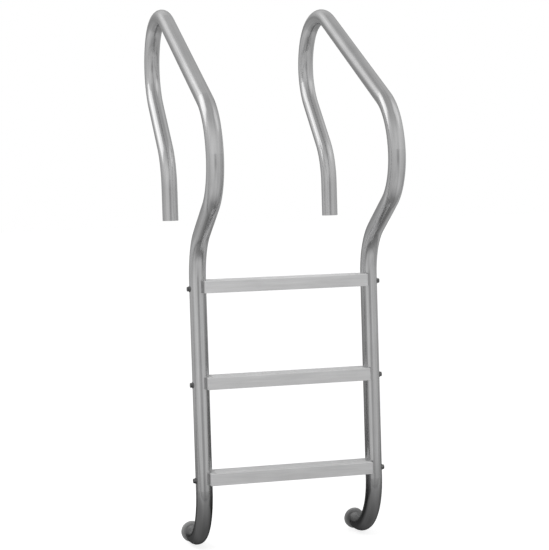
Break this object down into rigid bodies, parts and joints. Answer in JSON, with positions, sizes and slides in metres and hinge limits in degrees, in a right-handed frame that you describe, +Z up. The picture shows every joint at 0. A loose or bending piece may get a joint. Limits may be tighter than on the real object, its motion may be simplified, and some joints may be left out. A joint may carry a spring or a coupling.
{
  "type": "pool ladder",
  "caption": "In-ground pool ladder: bent stainless tube rails with looped handrails and curled feet, moulded treads bolted between them, rubber bumpers on the feet.",
  "frame": {"origin": "midway between the cut lower ends of the two deck legs, on their centre lines", "axes": "+Z up; +Y back over the deck, away from the water; +X along the treads towards the right-hand rail as seen from the water"},
  "size_m": [0.5702, 0.949, 1.6033],
  "materials": {
    "rail_steel": "polished along the tube, soft streaks",
    "tread_plastic": "satin moulded, light grey",
    "fastener_steel": "dull, darker than the rails",
    "bumper_rubber": "matt mid grey"
  },
  "bodies": {
    "root": {"left_rail": "rail_steel", "right_rail": "rail_steel", "top_tread": "tread_plastic", "middle_tread": "tread_plastic", "bottom_tread": "tread_plastic", "tread_bolts": "fastener_steel", "saddle_washers": "fastener_steel", "nut_washers": "fastener_steel", "tread_nuts": "fastener_steel", "left_bumper": "bumper_rubber", "right_bumper": "bumper_rubber"}
  },
  "joints": []
}
